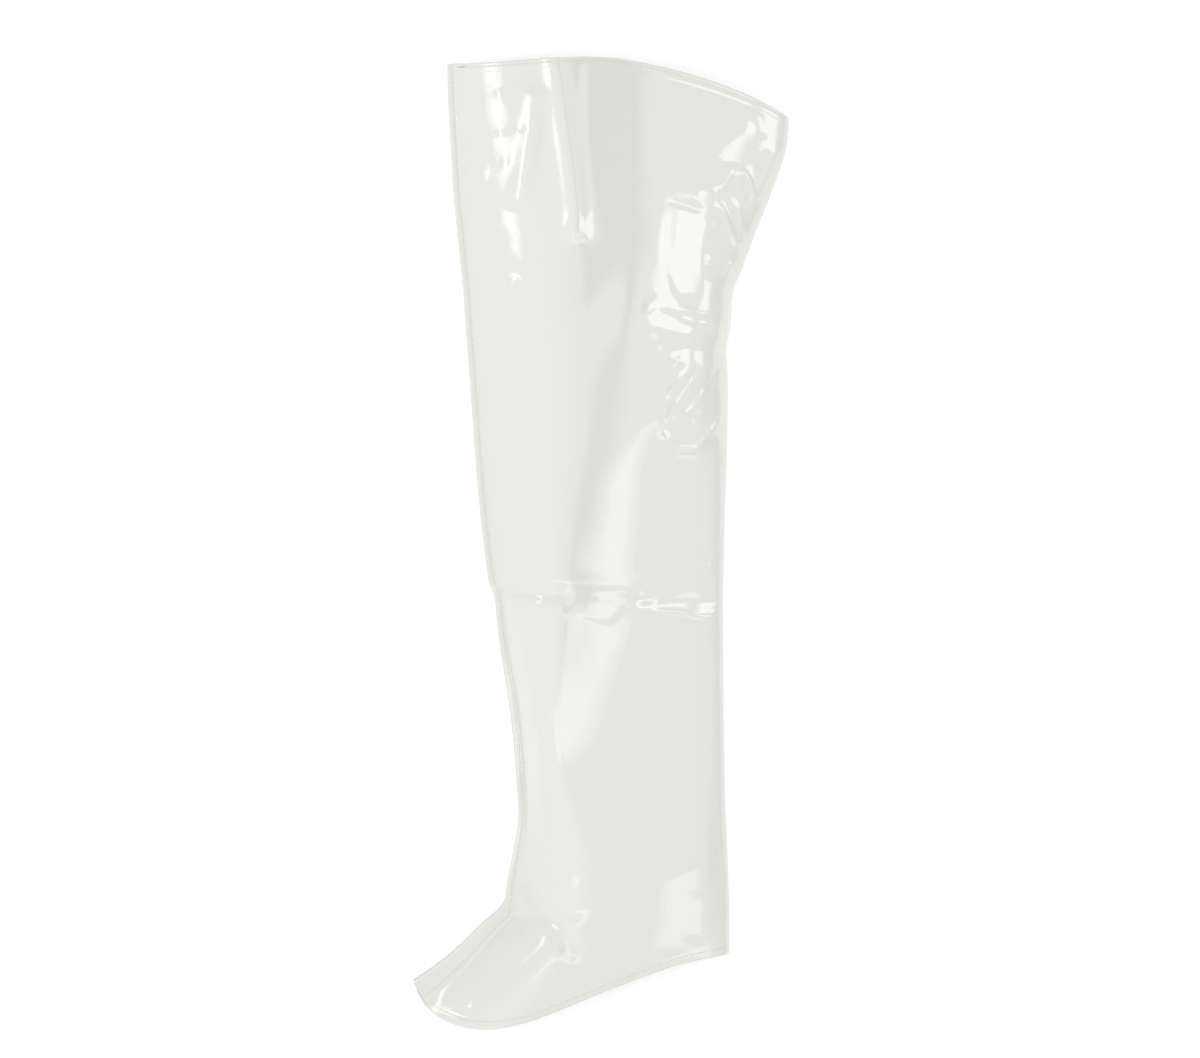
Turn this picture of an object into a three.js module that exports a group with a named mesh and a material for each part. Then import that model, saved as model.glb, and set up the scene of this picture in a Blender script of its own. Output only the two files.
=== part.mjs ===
// A thigh-high boot cover of patent vinyl, slack and lying on its side as on a floor.
// Millimetres, +Z up, +Y towards the collar, -X towards the toe. It has no sole: the tube is open
// at the collar and along the foot. Across a section, the front seam is a flat topstitched edge,
// the lower panel lies on the floor, and the upper panel arches over to a soft fold at the back.
import * as THREE from "three";
import { ParametricGeometry } from "three/addons/geometries/ParametricGeometry.js";
import { mergeVertices } from "three/addons/utils/BufferGeometryUtils.js";

// Driving sizes of the outline. The heel line is the straight back edge above the heel.
const LEG_LENGTH = 720; // collar's crest down to the heel corner
const SHAFT_DEPTH = 227; // heel line forward to the front seam, at the collar
const BACK_FLARE = 48; // heel line back to the collar's back corner
const FOOT_LENGTH = 255; // heel line forward to the toe tip
const COLLAR_RISE = 23.5; // collar's arch above the line between its two corners
const HEM_BOW = 42.5; // open foot's bow below the line from the toe tip to the heel corner

// Driving sizes of the section.
const LOFT = 41; // height that the slack upper panel stands off the floor
const WALL = 1; // patent vinyl with its knitted backing
const SEAM_EDGE = 6; // flat edge of the turned and topstitched front seam
const SEAM_LIFT = 3.5; // middle of that edge above the floor
const SEAM_EASE = 18; // where the lower panel comes down to the floor behind the seam
const FOLD_RISE = 5; // middle of the back fold above the floor
const FOLD_REACH = 7; // where the lower panel leaves the floor before the back fold
const FLATNESS = 2.4; // power of the arch: 2 is round, more is flatter on top
const BACK_ROUNDNESS = 0.625; // power of the arch at the back: 0.5 is the roundest

// The walls turned in at the collar and round the foot.
const HEM_DEPTH = 8;
const HEM_THICKNESS = 1;
const CLEARANCE = 0.3; // between pieces that touch
const SEAM_GAP = 0.6; // least height of the hollow, where it closes at the front seam

// Rows from the collar to the open foot. frontDown and backDown are shares of LEG_LENGTH, shaft of
// SHAFT_DEPTH, toe of the way from the ankle to the toe tip, back of BACK_FLARE, and loft of LOFT.
// crest is the share across from the front seam to where the upper panel stands highest.
const ANKLE = 0.748;
const ROWS = [
  { frontDown: 0.008, shaft: 1, toe: 0, backDown: 0.069, back: 1, loft: 0.9, crest: 0.484 },
  { frontDown: 0.05, shaft: 0.996, toe: 0, backDown: 0.106, back: 0.942, loft: 0.94, crest: 0.49 },
  { frontDown: 0.106, shaft: 0.986, toe: 0, backDown: 0.15, back: 0.717, loft: 0.98, crest: 0.503 },
  { frontDown: 0.161, shaft: 0.975, toe: 0, backDown: 0.195, back: 0.45, loft: 1, crest: 0.52 },
  { frontDown: 0.217, shaft: 0.957, toe: 0, backDown: 0.234, back: 0.233, loft: 1, crest: 0.538 },
  { frontDown: 0.262, shaft: 0.943, toe: 0, backDown: 0.264, back: 0.067, loft: 1, crest: 0.552 },
  { frontDown: 0.306, shaft: 0.933, toe: 0, backDown: 0.301, back: 0.025, loft: 1, crest: 0.553 },
  { frontDown: 0.334, shaft: 0.926, toe: 0, backDown: 0.329, back: -0.05, loft: 1, crest: 0.555 },
  { frontDown: 0.367, shaft: 0.918, toe: 0, backDown: 0.36, back: -0.017, loft: 0.99, crest: 0.545 },
  { frontDown: 0.429, shaft: 0.904, toe: 0, backDown: 0.429, back: -0.033, loft: 0.95, crest: 0.506 },
  { frontDown: 0.496, shaft: 0.887, toe: 0, backDown: 0.496, back: -0.067, loft: 0.9, crest: 0.43 },
  { frontDown: 0.562, shaft: 0.863, toe: 0, backDown: 0.562, back: -0.092, loft: 0.87, crest: 0.37 },
  { frontDown: 0.588, shaft: 0.851, toe: 0, backDown: 0.588, back: -0.1, loft: 0.87, crest: 0.35 },
  { frontDown: 0.604, shaft: 0.832, toe: 0, backDown: 0.607, back: -0.108, loft: 0.87, crest: 0.33 },
  { frontDown: 0.651, shaft: 0.816, toe: 0, backDown: 0.651, back: -0.1, loft: 0.87, crest: 0.29 },
  { frontDown: 0.741, shaft: 0.773, toe: 0, backDown: 0.735, back: -0.092, loft: 0.87, crest: 0.23 },
  { frontDown: 0.807, shaft: 0.755, toe: 0, backDown: 0.796, back: -0.075, loft: 0.88, crest: 0.24 },
  { frontDown: 0.85, shaft: ANKLE, toe: 0, backDown: 0.83, back: -0.067, loft: 0.91, crest: 0.3 },
  { frontDown: 0.885, shaft: ANKLE, toe: 0.047, backDown: 0.852, back: -0.05, loft: 0.96, crest: 0.38 },
  { frontDown: 0.919, shaft: ANKLE, toe: 0.104, backDown: 0.874, back: -0.038, loft: 0.98, crest: 0.42 },
  { frontDown: 0.944, shaft: ANKLE, toe: 0.146, backDown: 0.894, back: -0.025, loft: 0.98, crest: 0.45 },
  { frontDown: 0.969, shaft: ANKLE, toe: 0.368, backDown: 0.919, back: -0.013, loft: 0.96, crest: 0.46 },
  { frontDown: 0.997, shaft: ANKLE, toe: 0.613, backDown: 0.947, back: 0, loft: 0.93, crest: 0.46 },
  { frontDown: 1.017, shaft: ANKLE, toe: 0.83, backDown: 0.974, back: 0, loft: 0.88, crest: 0.46 },
  { frontDown: 1.03, shaft: ANKLE, toe: 1, backDown: 1, back: 0, loft: 0.8, crest: 0.46 },
];
const COLLAR_ROWS = 8; // rows over which the collar's arch dies out
const COLLAR_FADE = 2; // power of its dying out
const HEM_ROWS = 8; // rows over which the foot's bow grows
const HEM_FADE = 1.5; // power of its growth
const SLANT_SHARE = 0.6; // least slant between a row and the seam that the seam's edge allows for

// Share across from the front seam to the back fold, against share of COLLAR_RISE or HEM_BOW.
const COLLAR_ARCH = [
  [0, 0], [0.15, 0.28], [0.31, 0.68], [0.45, 0.95], [0.55, 1],
  [0.7, 0.88], [0.85, 0.58], [0.96, 0.2], [1, 0],
];
const FOOT_BOW = [
  [0, 0], [0.02, 0.28], [0.04, 0.49], [0.076, 0.7], [0.158, 0.93], [0.25, 1.01],
  [0.353, 0.94], [0.445, 0.79], [0.596, 0.49], [0.763, 0.2], [0.868, 0.065], [1, 0],
];

// Folds of the upper panel, each a soft ridge, or a trough where height is below 0. A path's points
// are [share of SHAFT_DEPTH ahead of the heel line, share of LEG_LENGTH down]; width and height are
// shares of LOFT.
const FOLDS = [
  { name: "thigh crease", width: 0.22, height: 0.07,
    path: [[0.624, 0], [0.592, 0.072], [0.564, 0.128], [0.539, 0.197]] },
  { name: "thigh hollow", width: 0.55, height: -0.03,
    path: [[0.42, 0.02], [0.415, 0.139], [0.41, 0.26]] },
  { name: "back of the knee", width: 0.5, height: 0.06,
    path: [[0.131, 0.161], [0.138, 0.223], [0.103, 0.27]] },
  { name: "knee crease", width: 0.16, height: -0.06,
    path: [[0.26, 0.285], [0.12, 0.298], [0, 0.325]] },
  { name: "slack below the knee", width: 0.52, height: 0.09,
    path: [[0.131, 0.34], [0.138, 0.4]] },
  { name: "storage fold", width: 0.16, height: -0.05,
    path: [[0.85, 0.596], [0.4, 0.602], [0, 0.606]] },
  { name: "instep wrinkle", width: 0.22, height: -0.06,
    path: [[0.76, 0.9], [0.64, 0.955], [0.55, 0.995]] },
];
const FOLD_FADE = 3; // how fast the folds grow from the edges of the panel

// Fineness of the mesh.
const TOP_STEPS = 28;
const BOTTOM_STEPS = 14;
const FRONT_SHARE = 0.43; // share of the steps that lie in the front half
const STEPS_PER_ROW = 2;
const SAMPLES_PER_PAIR = 8;
const HALVINGS = 30; // of the search for the step where the hollow starts
const NUDGE_SHARE = 0.004; // step to either side that gives a panel's direction

const { lerp, clamp } = THREE.MathUtils;

// A smooth curve through the rows' points, and a smooth function through a table of pairs.
function through(points) {
  return new THREE.SplineCurve(points.map(([x, y]) => new THREE.Vector2(x, y)));
}
function smooth(table) {
  const samples = through(table).getPoints(table.length * SAMPLES_PER_PAIR);
  return (at) => {
    const next = Math.max(1, samples.findIndex((p) => p.x >= at));
    const [a, b] = [samples[next - 1], samples[next]];
    return lerp(a.y, b.y, clamp((at - a.x) / (b.x - a.x), 0, 1));
  };
}

const lastRow = ROWS.length - 1;
const ankleToToe = FOOT_LENGTH - ANKLE * SHAFT_DEPTH;
const frontEdge = through(
  ROWS.map((r) => [-r.shaft * SHAFT_DEPTH - r.toe * ankleToToe, -r.frontDown * LEG_LENGTH]),
);
const backEdge = through(ROWS.map((r) => [r.back * BACK_FLARE, -r.backDown * LEG_LENGTH]));
const loftLine = through(ROWS.map((r, i) => [i, r.loft * LOFT]));
const crestLine = through(ROWS.map((r, i) => [i, r.crest]));
const collarArch = smooth(COLLAR_ARCH);
const footBow = smooth(FOOT_BOW);

// One row at a share of the way along the leg, from 0 at the collar to 1 at the open foot.
function rowAt(along) {
  const front = frontEdge.getPoint(along);
  const back = backEdge.getPoint(along);
  const across = back.clone().sub(front);
  const width = across.length();
  across.normalize();
  // The seam's edge keeps its width where the row meets the seam at a slant.
  const slant = Math.abs(across.cross(frontEdge.getTangent(along)));
  const fromCollar = along * lastRow;
  const fromFoot = lastRow - fromCollar;
  return {
    front,
    across,
    width,
    edge: SEAM_EDGE / Math.max(slant, SLANT_SHARE),
    loft: loftLine.getPoint(along).y,
    crest: crestLine.getPoint(along).y,
    arch: COLLAR_RISE * Math.max(0, 1 - fromCollar / COLLAR_ROWS) ** COLLAR_FADE,
    bow: HEM_BOW * Math.max(0, 1 - fromFoot / HEM_ROWS) ** HEM_FADE,
  };
}

// The arch of the upper panel at step 0 (seam) to 1 (back fold): share across, share of the height.
// The steps crowd together towards the back, where the panel turns down steeply.
function archAt(row, step) {
  if (step < FRONT_SHARE) {
    const out = 1 - step / FRONT_SHARE;
    return [row.crest * (1 - out), 1 - out ** FLATNESS];
  }
  const out = Math.sin(((step - FRONT_SHARE) / (1 - FRONT_SHARE)) * (Math.PI / 2));
  return [lerp(row.crest, 1, out), Math.max(0, 1 - out ** FLATNESS) ** BACK_ROUNDNESS];
}

// Outside of the upper and lower panels behind the seam's edge, as [distance across, height].
function upperPanel(row, step) {
  const [share, height] = archAt(row, step);
  const foot = lerp(SEAM_LIFT + WALL, FOLD_RISE, share);
  return [lerp(row.edge, row.width, share), lerp(foot, row.loft, height)];
}
function lowerPanel(row, step) {
  const across = lerp(row.edge, row.width, archAt(row, step)[0]);
  const ease = clamp(1 - (across - row.edge) / SEAM_EASE, 0, 1);
  const out = clamp((across - row.width + FOLD_REACH) / FOLD_REACH, 0, 1);
  const fold = FOLD_RISE * (1 - Math.sqrt(1 - out * out));
  return [across, (SEAM_LIFT - WALL) * ease * ease + fold];
}

// A point of a panel moved inwards, square to the panel, by inset.
function inside(panel, row, step, inset, turn) {
  const [across, height] = panel(row, step);
  if (inset === 0) return [across, height];
  const [a0, h0] = panel(row, Math.max(0, step - NUDGE_SHARE));
  const [a1, h1] = panel(row, Math.min(1, step + NUDGE_SHARE));
  const length = Math.hypot(a1 - a0, h1 - h0);
  return [
    across + (turn * inset * (h1 - h0)) / length,
    height - (turn * inset * (a1 - a0)) / length,
  ];
}

// The step at which the tube is wide enough to be hollow inside that inset.
function hollowFrom(row, inset) {
  let low = 0;
  let high = 0.5;
  for (let i = 0; i < HALVINGS; i++) {
    const step = (low + high) / 2;
    const room = upperPanel(row, step)[1] - lowerPanel(row, step)[1] - 2 * inset;
    if (room < SEAM_GAP) low = step;
    else high = step;
  }
  return high;
}

// Height that the folds add to the upper panel at a point.
function foldsAt(x, y) {
  const point = new THREE.Vector3(x, y, 0);
  const segment = new THREE.Line3();
  const nearest = new THREE.Vector3();
  let sum = 0;
  for (const { path, width, height } of FOLDS) {
    let distance = Infinity;
    for (let i = 1; i < path.length; i++) {
      segment.start.set(-path[i - 1][0] * SHAFT_DEPTH, -path[i - 1][1] * LEG_LENGTH, 0);
      segment.end.set(-path[i][0] * SHAFT_DEPTH, -path[i][1] * LEG_LENGTH, 0);
      segment.closestPointToPoint(point, true, nearest);
      distance = Math.min(distance, nearest.distanceTo(point));
    }
    sum += height * LOFT * Math.exp(-((distance / (width * LOFT)) ** 2));
  }
  return sum;
}

// The steps of an inner face: they start where the tube is hollow, and soon fall in with the steps
// of the outside, so that the facets of neighbouring faces lie parallel.
const INNER_START_SHARE = 0.012;
const INNER_FADE = 8;
function innerStep(start, count, steps) {
  if (count === 0) return start;
  const step = (count - 1) / steps;
  return step + (start + INNER_START_SHARE) * (1 - step) ** INNER_FADE;
}

// Points round one section: the seam's edge, the upper panel, the fold and the lower panel back.
const ROUND = TOP_STEPS + BOTTOM_STEPS + 3;
function sectionPoint(row, inset, index, target) {
  const onTop = index <= TOP_STEPS + 1;
  const count = onTop ? index : ROUND - 1 - index;
  const steps = onTop ? TOP_STEPS : BOTTOM_STEPS;
  const panel = onTop ? upperPanel : lowerPanel;
  let across = 0;
  let height = SEAM_LIFT + (onTop ? WALL : -WALL);
  let step = 0;
  if (inset > 0) {
    step = innerStep(hollowFrom(row, inset), count, steps);
    [across, height] = inside(panel, row, step, inset, onTop ? 1 : -1);
  } else if (count > 0) {
    step = (count - 1) / steps;
    [across, height] = panel(row, step);
  }
  const share = across / row.width;
  const x = row.front.x + row.across.x * across;
  const y =
    row.front.y + row.across.y * across + row.arch * collarArch(share) - row.bow * footBow(share);
  const fade = onTop && count > 0 ? Math.min(1, FOLD_FADE * archAt(row, step)[1]) : 0;
  return target.set(x, y, height + fade * foldsAt(x, y));
}

// A hollow band round the tube, through the given shares of its length, from one inset to another.
function band(stops, outer, inner) {
  const loops = 2 * stops.length;
  const geometry = new ParametricGeometry(
    (u, v, target) => {
      const index = Math.round((1 - u) * ROUND) % ROUND;
      const loop = Math.round(v * loops) % loops;
      const onOuter = loop < stops.length;
      const stop = stops[onOuter ? loop : loops - 1 - loop];
      sectionPoint(rowAt(stop), onOuter ? outer : inner, index, target);
    },
    ROUND,
    loops,
  );
  geometry.deleteAttribute("normal");
  geometry.deleteAttribute("uv");
  return mergeVertices(geometry);
}

// Share of the leg's length that the depth of a hem takes up at one end, by the rows' spacing there.
function hemShare(end) {
  const next = Math.abs(end - 1 / lastRow);
  return HEM_DEPTH / backEdge.getPoint(end).distanceTo(backEdge.getPoint(next)) / lastRow;
}
const collarHemShare = hemShare(0);
const soleHemShare = hemShare(1);
const wallStops = [0, collarHemShare];
for (let i = 1; i < lastRow * STEPS_PER_ROW; i++) wallStops.push(i / (lastRow * STEPS_PER_ROW));
wallStops.push(1 - soleHemShare, 1);

const vinyl = new THREE.MeshStandardMaterial({ color: 0xe6e7e1, roughness: 0.12, metalness: 0 });
const backing = new THREE.MeshStandardMaterial({ color: 0xdcd9cb, roughness: 0.85, metalness: 0 });

const upper = new THREE.Mesh(band(wallStops, 0, WALL), vinyl);
upper.name = "upper";

const hemOuter = WALL + CLEARANCE;
const hemInner = hemOuter + HEM_THICKNESS;
const collarHem = new THREE.Mesh(band([0, collarHemShare], hemOuter, hemInner), backing);
collarHem.name = "collar_hem";
const soleHem = new THREE.Mesh(band([1 - soleHemShare, 1], hemOuter, hemInner), backing);
soleHem.name = "sole_hem";

// The origin is on the floor, under the middle of the cover.
const cover = new THREE.Group();
cover.add(upper, collarHem, soleHem);
upper.geometry.computeBoundingBox();
const middle = upper.geometry.boundingBox.getCenter(new THREE.Vector3());
cover.position.set(-middle.x, -middle.y, 0);

export default cover;
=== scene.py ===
"""A slack thigh-high boot cover of patent vinyl, lying on its side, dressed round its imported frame.

Millimetres in the tables, metres in Blender. +Y runs to the collar, -X to the toe, +Z up.
"""

import bmesh
import bpy
import numpy as np
from mathutils import Matrix, Vector


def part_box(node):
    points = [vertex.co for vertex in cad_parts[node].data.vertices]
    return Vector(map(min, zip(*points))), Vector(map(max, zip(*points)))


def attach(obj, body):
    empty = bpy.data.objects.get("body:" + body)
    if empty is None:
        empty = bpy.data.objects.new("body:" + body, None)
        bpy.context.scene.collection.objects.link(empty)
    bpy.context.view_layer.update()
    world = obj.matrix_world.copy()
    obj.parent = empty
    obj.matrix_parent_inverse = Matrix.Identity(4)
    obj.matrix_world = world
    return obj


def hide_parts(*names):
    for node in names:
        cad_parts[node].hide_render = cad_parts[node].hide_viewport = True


bl_info = {
    "name": "Boot Cover",
    "version": (1, 0, 0),
    "blender": (4, 5, 0),
    "location": "View3D > Sidebar > Boot Cover",
    "description": "Vinyl shell, stitching and studio for a thigh-high boot cover",
    "category": "Object",
}

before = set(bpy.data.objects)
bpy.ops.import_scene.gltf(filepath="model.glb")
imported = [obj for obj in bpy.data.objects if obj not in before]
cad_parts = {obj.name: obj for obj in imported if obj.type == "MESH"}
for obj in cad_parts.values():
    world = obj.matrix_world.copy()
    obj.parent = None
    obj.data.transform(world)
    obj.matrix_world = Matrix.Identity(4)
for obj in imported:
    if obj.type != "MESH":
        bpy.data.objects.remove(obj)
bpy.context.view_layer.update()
UPPER_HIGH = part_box("upper")[1]

MM = 0.001

# Outline and section, as in the solids: lengths in millimetres, powers and shares.
LEG_LENGTH = 720.0
SHAFT_DEPTH = 227.0
BACK_FLARE = 48.0
FOOT_LENGTH = 255.0
COLLAR_RISE = 23.5
HEM_BOW = 42.5
LOFT = 41.0
SEAM_EDGE = 6.0
SEAM_LIFT = 3.5
SEAM_EASE = 18.0
FOLD_RISE = 5.0
FOLD_REACH = 7.0
FLATNESS = 2.4
BACK_ROUNDNESS = 0.625
CLEARANCE = 0.3
SEAM_GAP = 0.6
ANKLE = 0.748
SLANT_SHARE = 0.6

# Rows from the collar to the open foot: front seam's share of LEG_LENGTH down, its share of
# SHAFT_DEPTH, its share of the way to the toe, the back's share of LEG_LENGTH down, its share of
# BACK_FLARE, the share of LOFT, and the share across to the crest.
ROWS = np.array([
    (0.008, 1, 0, 0.069, 1, 0.9, 0.484),
    (0.05, 0.996, 0, 0.106, 0.942, 0.94, 0.49),
    (0.106, 0.986, 0, 0.15, 0.717, 0.98, 0.503),
    (0.161, 0.975, 0, 0.195, 0.45, 1, 0.52),
    (0.217, 0.957, 0, 0.234, 0.233, 1, 0.538),
    (0.262, 0.943, 0, 0.264, 0.067, 1, 0.552),
    (0.306, 0.933, 0, 0.301, 0.025, 1, 0.553),
    (0.334, 0.926, 0, 0.329, -0.05, 1, 0.555),
    (0.367, 0.918, 0, 0.36, -0.017, 0.99, 0.545),
    (0.429, 0.904, 0, 0.429, -0.033, 0.95, 0.506),
    (0.496, 0.887, 0, 0.496, -0.067, 0.9, 0.43),
    (0.562, 0.863, 0, 0.562, -0.092, 0.87, 0.37),
    (0.588, 0.851, 0, 0.588, -0.1, 0.87, 0.35),
    (0.604, 0.832, 0, 0.607, -0.108, 0.87, 0.33),
    (0.651, 0.816, 0, 0.651, -0.1, 0.87, 0.29),
    (0.741, 0.773, 0, 0.735, -0.092, 0.87, 0.23),
    (0.807, 0.755, 0, 0.796, -0.075, 0.88, 0.24),
    (0.85, ANKLE, 0, 0.83, -0.067, 0.91, 0.3),
    (0.885, ANKLE, 0.047, 0.852, -0.05, 0.96, 0.38),
    (0.919, ANKLE, 0.104, 0.874, -0.038, 0.98, 0.42),
    (0.944, ANKLE, 0.146, 0.894, -0.025, 0.98, 0.45),
    (0.969, ANKLE, 0.368, 0.919, -0.013, 0.96, 0.46),
    (0.997, ANKLE, 0.613, 0.947, 0, 0.93, 0.46),
    (1.017, ANKLE, 0.83, 0.974, 0, 0.88, 0.46),
    (1.03, ANKLE, 1, 1, 0, 0.8, 0.46),
])
LAST_ROW = len(ROWS) - 1
COLLAR_ROWS = 8
COLLAR_FADE = 2
HEM_ROWS = 8
HEM_FADE = 1.5
COLLAR_ARCH = np.array([
    (0, 0), (0.15, 0.28), (0.31, 0.68), (0.45, 0.95), (0.55, 1),
    (0.7, 0.88), (0.85, 0.58), (0.96, 0.2), (1, 0),
])
FOOT_BOW = np.array([
    (0, 0), (0.02, 0.28), (0.04, 0.49), (0.076, 0.7), (0.158, 0.93), (0.25, 1.01),
    (0.353, 0.94), (0.445, 0.79), (0.596, 0.49), (0.763, 0.2), (0.868, 0.065), (1, 0),
])

# The main folds, as in the solids: width and height as shares of LOFT, and a path of shares of
# SHAFT_DEPTH ahead of the heel line and of LEG_LENGTH down.
FOLDS = [
    (0.22, 0.07, [(0.624, 0), (0.592, 0.072), (0.564, 0.128), (0.539, 0.197)]),
    (0.55, -0.03, [(0.42, 0.02), (0.415, 0.139), (0.41, 0.26)]),
    (0.5, 0.06, [(0.131, 0.161), (0.138, 0.223), (0.103, 0.27)]),
    (0.16, -0.06, [(0.26, 0.285), (0.12, 0.298), (0, 0.325)]),
    (0.52, 0.09, [(0.131, 0.34), (0.138, 0.4)]),
    (0.16, -0.05, [(0.85, 0.596), (0.4, 0.602), (0, 0.606)]),
    (0.22, -0.06, [(0.76, 0.9), (0.64, 0.955), (0.55, 0.995)]),
]
FOLD_FADE = 3.0

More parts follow.
